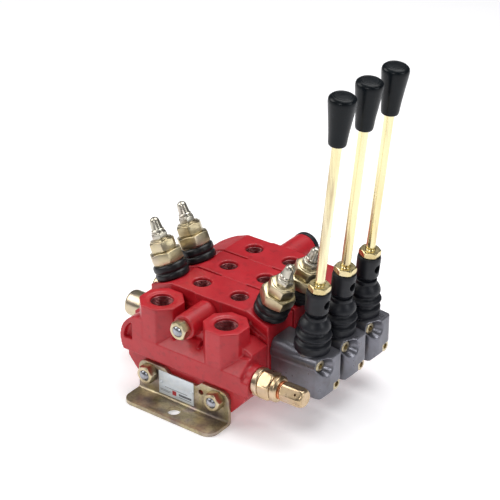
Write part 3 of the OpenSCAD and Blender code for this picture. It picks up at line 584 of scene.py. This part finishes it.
def along_x(x, y, z, spin=0.0, flip=False):
    """A place whose z axis points along x. The position is in metres."""
    turn = Matrix.Rotation(math.radians(-90 if flip else 90), 4, "Y")
    return Matrix.Translation((x, y, z)) @ turn @ Matrix.Rotation(math.radians(spin), 4, "Z")


def towards_y(x, y, z, forward):
    """A place whose z axis points to +y when forward, or to -y."""
    turn = Matrix.Rotation(math.radians(-90 if forward else 90), 4, "X")
    return Matrix.Translation((x, y, z)) @ turn


def middle(box):
    return (box[0] + box[1]) / 2


# ---- castings and sheet parts ------------------------------------------------

def make_castings():
    for node in ("inlet_section", "work_section_1", "work_section_2", "work_section_3", "end_section"):
        rounded_copy(node.replace("_section", "") + "_casting", node, 0.9 * MM, 3)
    for i in SECTIONS:
        rounded_copy(f"housing_casting_{i}", f"lever_housing_{i}", 0.7 * MM, 4)
        rounded_copy(f"socket_forging_{i}", f"lever_socket_{i}", 0.5 * MM, 3)


def box_piece(name, low, high, slot, look):
    """A plain block between two corners."""
    work = bmesh.new()
    bmesh.ops.create_cube(work, size=1)
    for vert in work.verts:
        vert.co = [a if c < 0 else b for c, a, b in zip(vert.co, low, high)]
    mesh = bpy.data.meshes.new(name)
    work.to_mesh(mesh)
    work.free()
    return add_piece(name, mesh, slot, look=look)


def make_plate_print():
    """Blank entry lines and an empty field frame on the plate."""
    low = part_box("name_plate")[0]
    ink = 0.12 * MM

    def line(name, x0, x1, z0, z1):
        box_piece(name, (low.x + x0 * MM, low.y - ink, low.z + z0 * MM),
                  (low.x + x1 * MM, low.y + 0.1 * MM, low.z + z1 * MM), "plate_white", "plate_ink")

    for k, (x0, x1, z) in enumerate(((8, 37, 9.6), (1.6, 16, 5.6), (1.6, 14, 4.2), (26, 42, 3.2))):
        line(f"plate_line_{k + 1}", x0, x1, z, z + 0.45)
    line("plate_field", 26, 42, 5.2, 7.6)
    box_piece("plate_mark", (low.x + 17.5 * MM, low.y - ink, low.z + 3.6 * MM),
              (low.x + 22.5 * MM, low.y + 0.1 * MM, low.z + 8.6 * MM), "plate_white", "plate_red")


def make_sheet_parts():
    for node in ("front_bracket", "rear_bracket"):
        bevelled_copy(node + "_sheet", node, 0.3 * MM, "bracket_zinc")
    bevelled_copy("blank_plate", "name_plate", 0.12 * MM)
    make_plate_print()
    for k, box in enumerate(islands("plate_rivets")):
        centre = middle(box)
        head = softened([(1.38, 0), (2.2, 0.8), (2.1, 1.2), (1.5, 1.6), (0.4, 1.8)], 0.4)
        place = towards_y(centre.x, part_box("name_plate")[1].y, centre.z, False)
        turned(f"plate_rivet_{k + 1}", [(1.38, -3.9)] + head, place, "plate_rivets", segments=32)


# ---- stack hardware ----------------------------------------------------------

def make_tie_rods():
    for k, (low, high) in enumerate(islands("tie_rods")):
        length, r = (high.y - low.y) / MM, 6.0
        dome = [(0.6, 0), (2.6, 0.25), (4.4, 1.0), (5.5, 2.1)]
        rings = dome + thread(r, 2.4, 26, 1.75)
        rings += [(r, 27.5), (r, length - 27.5)] + thread(r, length - 26, length - 2.4, 1.75)
        rings += [(a, length - z) for a, z in reversed(dome)]
        place = towards_y((low.x + high.x) / 2, low.y, (low.z + high.z) / 2, True)
        turned(f"tie_rod_{k + 1}", rings, place, "tie_rods", segments=64, sharp=50)


def make_tie_nuts():
    bevelled_copy("tie_nuts", "tie_rod_nuts", 0.25 * MM)


def make_boss_plug():
    low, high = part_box("boss_plug")
    centre, length = middle((low, high)), (high.y - low.y) / MM
    outline = [(12.4, 0), (12.4, 1.9), (16.4, 2.1), (16.4, length - 2.2), (14.4, length), (11.5, length),
               (10.8, length - 0.8), (0.5, length - 0.8)]
    turned("boss_cap", softened(outline, 1.2), towards_y(centre.x, low.y, centre.z, True), "boss_plug")


# ---- relief valves -----------------------------------------------------------

def make_main_relief():
    flange_x, washer_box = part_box("inlet_section")[1].x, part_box("main_relief_washer")
    y, z = middle(washer_box).y, middle(washer_box).z
    to_hex, to_washer = 7, (washer_box[0].x - flange_x) / MM
    collar = softened([(9.9, 0), (13.8, 0), (15, 1.2), (15, 5.8), (13.8, to_hex), (12.5, to_hex)], 0.5)
    neck = to_washer - 8
    ring = [(10.5, neck), (12.4, neck), (13.8, neck + 1.6), (13.8, neck + 5.4), (11.4, to_washer),
            (7.4, to_washer)]
    rings = [(9.9, -50)] + collar + hexagon(27, to_hex, neck, 2.0) + softened(ring, 0.6)
    rings += thread(7.5, to_washer + 0.2, to_washer + 8, 1.25) + [(6.2, to_washer + 9)]
    turned("relief_body", rings, along_x(flange_x, y, z, 10), "main_relief_body", segments=120)
    washer = [(7.7, 0), (9.2, 0), (9.6, 0.4), (9.6, 1.4), (9.2, 1.8), (7.7, 1.8)]
    place = along_x(washer_box[0].x, y, z)
    turned("relief_washer", softened(washer, 0.3), place, "main_relief_washer", closed=True)
    make_relief_cap(y, z)


def make_relief_cap(y, z):
    low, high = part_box("main_relief_cap")
    length = (high.x - low.x) / MM
    flat, corner = 9.0, 18 / math.sqrt(3)
    rings = hexagon(18, 0, length, 1.4)[:5]
    rings += [(flat, length - 6, 6, corner), (flat, length - 3.6, 6, 10.0), (flat, length - 1.8, 6, 9.3),
              (flat, length - 0.6, 6, 8.4), (7.4, length), (1.2, length)]
    place = along_x(low.x, y, z, 20)
    cap = turned("relief_cap", rings, place, "main_relief_cap", segments=120, sharp=30)
    hole = [(1.3, -13), (1.3, 13)]
    tilt = Matrix.Rotation(math.radians(30), 4, "Z") @ Matrix.Rotation(math.radians(90), 4, "Y")
    drill = bpy.data.objects.new("drill", turned_mesh("drill", hole, place @ Matrix.Translation(
        (0, 0, (length - 8) * MM)) @ tilt, segments=32))
    bpy.context.scene.collection.objects.link(drill)
    cut = cap.modifiers.new("hole", "BOOLEAN")
    cut.object = drill
    cut.solver = "EXACT"
    cap.data = applied(cap)
    cap.modifiers.clear()
    bpy.data.objects.remove(drill)
    cap.data.set_sharp_from_angle(angle=math.radians(30))


RELIEF_TILT = 23
RELIEF_FOOT = Vector((61.5, 0, 104.1024)) * MM
COLLAR_TOP, LOCK_TOP, ADJUSTER_TOP = 17, 50.5, 66.2


def relief_place(side, y, height=0.0):
    turn = Matrix.Rotation(math.radians(side * RELIEF_TILT), 4, "Y")
    foot = Matrix.Translation((side * RELIEF_FOOT.x, y, RELIEF_FOOT.z))
    return foot @ turn @ Matrix.Translation((0, 0, height * MM))


def make_port_relief(tag, side, y):
    collar = [(12, 0.1), (16.2, 0.1), (18.1, 1.8), (18.1, 6.3), (16.2, 8.2), (18.1, 10.1), (18.1, 14.8),
              (16.2, 16.8), (12, COLLAR_TOP)]
    turned(f"relief_collar_{tag}", softened(collar, 1.5), relief_place(side, y), "port_relief_collars",
           closed=True)
    h = ADJUSTER_TOP - LOCK_TOP
    foot = [(6.2, 0), (6.9, 0.5), (6.9, 2.2), (6.1, 2.9)]
    stem = [(6.0, 3.2), (5.2, h - 4), (4.6, h - 2), (2.8, h - 0.5), (1.6, h)]
    rings = thread(4.0, -7, 0, 1.25) + foot + softened(stem, 0.8)
    turned(f"relief_adjuster_{tag}", rings, relief_place(side, y, LOCK_TOP), "port_relief_adjusters",
           sharp=40)


def make_port_reliefs():
    for i in (1, 2):
        for side, letter in ((-1, "a"), (1, "b")):
            make_port_relief(f"{letter}{i}", side, SECTION_Y[i])
    bevelled_copy("relief_valves", "port_relief_bodies", 0.3 * MM)
    bevelled_copy("relief_locks", "port_relief_nuts", 0.25 * MM)


# ---- spool caps and screws ---------------------------------------------------

def make_spool_caps():
    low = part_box("spool_end_caps")[0]
    face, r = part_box("work_section_2")[0].x, 14.4
    length = (face - low.x) / MM
    for i in SECTIONS:
        cup = [(10.4, -4.5), (10.4, 0), (14.2, 0)]
        foot = hexagon(30, 0, 8, 1.4)
        body = softened([(14.3, 8), (r, 8.6), (r, length - 3.6), (r - 0.9, length - 1.2), (r - 3.6, length),
                         (6.2, length), (5.6, length - 0.6), (0.6, length - 0.6)], 1.4)
        place = along_x(face, SECTION_Y[i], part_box("spool_1")[0].z + 8 * MM, 0, flip=True)
        turned(f"spool_cap_{i}", cup + foot + body, place, "spool_end_caps", segments=120)


def make_housing_screws():
    for k, (low, high) in enumerate(islands("housing_screws")):
        centre, length = middle((low, high)), (high.x - low.x) / MM
        under = length - 6
        head = softened([(4, under), (6.3, under), (6.3, length - 0.7), (5.6, length), (3.6, length)], 0.4)
        socket = [(3.0, length, 6, 3.5), (3.0, length - 3.4, 6, 3.5), (0.8, length - 4.4)]
        rings = [(3.2, 0)] + thread(4, 0.4, 14, 1.25) + [(4, 15)] + head + socket
        turned(f"housing_screw_{k + 1}", rings, along_x(low.x, centre.y, centre.z, 15), "housing_screws",
               segments=60)


# ---- levers --------------------------------------------------------------------

LEAN = 5.9
PIVOTS = {j["child"]: Vector(j["pos_m"]) for j in frame["joints"] if j["type"] == "hinge"}


def lever_place(i, spin=0.0):
    turn = Matrix.Rotation(math.radians(LEAN), 4, "Y") @ Matrix.Rotation(math.radians(spin), 4, "Z")
    return Matrix.Translation(PIVOTS[f"lever_{i}"]) @ turn


def bellows_radius(z):
    """Outer radius of the bellows in mm: three even folds, then a long shoulder up to the neck."""
    first_fold, fold_pitch, neck_z, neck_r, last_r = 5.8, 9.9, 34.5, 11.2, 16.3
    last_fold = first_fold + 2 * fold_pitch
    if z > last_fold:
        return last_r - (last_r - neck_r) * ((z - last_fold) / (neck_z - last_fold)) ** 1.7
    wave = math.cos(2 * math.pi * (z - first_fold) / fold_pitch)
    swell = 2 * math.copysign(abs(wave) ** 0.8, wave)
    return 16.5 - max(z - 16, 0) * 0.23 + swell


def boot_outline():
    """The bellows from its foot to its lip, then back down the inside."""
    levels = [5.8 + 28.7 * k / 60 for k in range(61)]
    outer = [(15.8, -1.5), (18.1, -1.5), (18.5, -0.9), (18.5, 3.4), (18.3, 4.6)]
    outer += [(bellows_radius(z), z) for z in levels]
    lip = [(11.2, 35.2), (11.2, 37.8), (10.8, 38.4), (9.4, 38.4)]
    inner = [(max(bellows_radius(z) - 2.2, 9.4), z) for z in reversed(levels)]
    return outer + lip + inner + [(15.8, 5)]


def make_boots():
    for i in SECTIONS:
        place = lever_place(i)
        mesh = turned_mesh(f"bellows_{i}", boot_outline(), place, closed=True, segments=96)
        boot = add_piece(f"bellows_{i}", mesh, "boot_rubber", None, [f"lever_boot_{i}"], sharp=60)
        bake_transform(boot)


def make_lever_nuts():
    height = 7.4
    base = (149 * MM - PIVOTS["lever_1"].z) / math.cos(math.radians(LEAN)) / MM
    for i in SECTIONS:
        rings = hexagon(20, base, base + height, 1.7)
        rings += [(5.6, base + height), (4.9, base + height - 0.6), (4.9, base)]
        turned(f"lever_lock_nut_{i}", rings, lever_place(i, 33), f"lever_nut_{i}", closed=True)
        top = base + height
        end = (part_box(f"lever_knob_{i}")[1].z - PIVOTS["lever_1"].z) / MM - 16
        rod = [(3.6, 60)] + thread(4.8, 60.5, top - 0.5, 1.5) + [(4.1, top), (4.1, top + 1.4)]
        rod += softened([(4.1, top + 1.4), (4.8, top + 2.4), (4.8, end), (4.0, end + 1)], 0.8)
        turned(f"lever_bar_{i}", rod, lever_place(i), f"lever_rod_{i}", segments=64)


def make_knobs():
    top = (359.5 * MM - PIVOTS["lever_1"].z) / math.cos(math.radians(LEAN)) / MM
    base = top - 51
    side = [(5.2, base), (8.4, base), (9.0, base + 2.6), (9.7, base + 12), (11.6, base + 28),
            (13.3, base + 41), (13.75, base + 45.5), (13.2, top - 2.4), (10.6, top - 0.35)]
    crown = [(9.6, top - 0.2), (9.0, top - 0.7), (8.4, top - 0.25), (0.5, top)]
    inside = [(4.9, base + 34), (4.9, base + 1.2)]
    outline = softened(side, 2.6, 6) + softened(crown, 0.5)
    for i in SECTIONS:
        rings = [(0.5, base + 34.6)] + inside + outline
        turned(f"knob_{i}", rings, lever_place(i), f"lever_knob_{i}", sharp=50)


# ---- ports ---------------------------------------------------------------------

def make_port_threads():
    """A threaded lining just inside each port, cut from the same casting and coloured dark red as painted
    shade of the bore.
    """
    for mount in record["mounts"]:
        if mount["kind"] != "threaded_hole":
            continue
        r, length = mount["dims"]["r_mm"], mount["dims"]["length_mm"]
        inner = [(a, z) for a, z in thread(r, -length / 2 + 1, length / 2 - 1.2, 1.8)]
        rings = [(r + 0.25, -length / 2 + 1), *inner, (r + 0.25, length / 2 - 1.2)]
        mesh = turned_mesh("thread", rings, Matrix.Translation(mount["pos_m"]), closed=True, segments=72)
        add_piece(mount["name"] + "_thread", mesh, "painted_casting", sharp=50, look="port_thread_shade")


MATERIALS = make_materials()
SLOT_OF = {part["node"]: part["material_slot"] for part in record["subparts"]}
BODY_OF = {name: node["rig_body"] for name, node in frame["nodes"].items()}
for name, node in frame["nodes"].items():
    node.data.materials.clear()
    node.data.materials.append(MATERIALS[SLOT_OF[name]])
make_camera()
make_studio()
make_sheet_parts()
make_tie_rods()
make_tie_nuts()
make_boss_plug()
make_main_relief()
make_port_reliefs()
make_spool_caps()
make_housing_screws()
make_boots()
make_lever_nuts()
make_knobs()
make_port_threads()
make_castings()
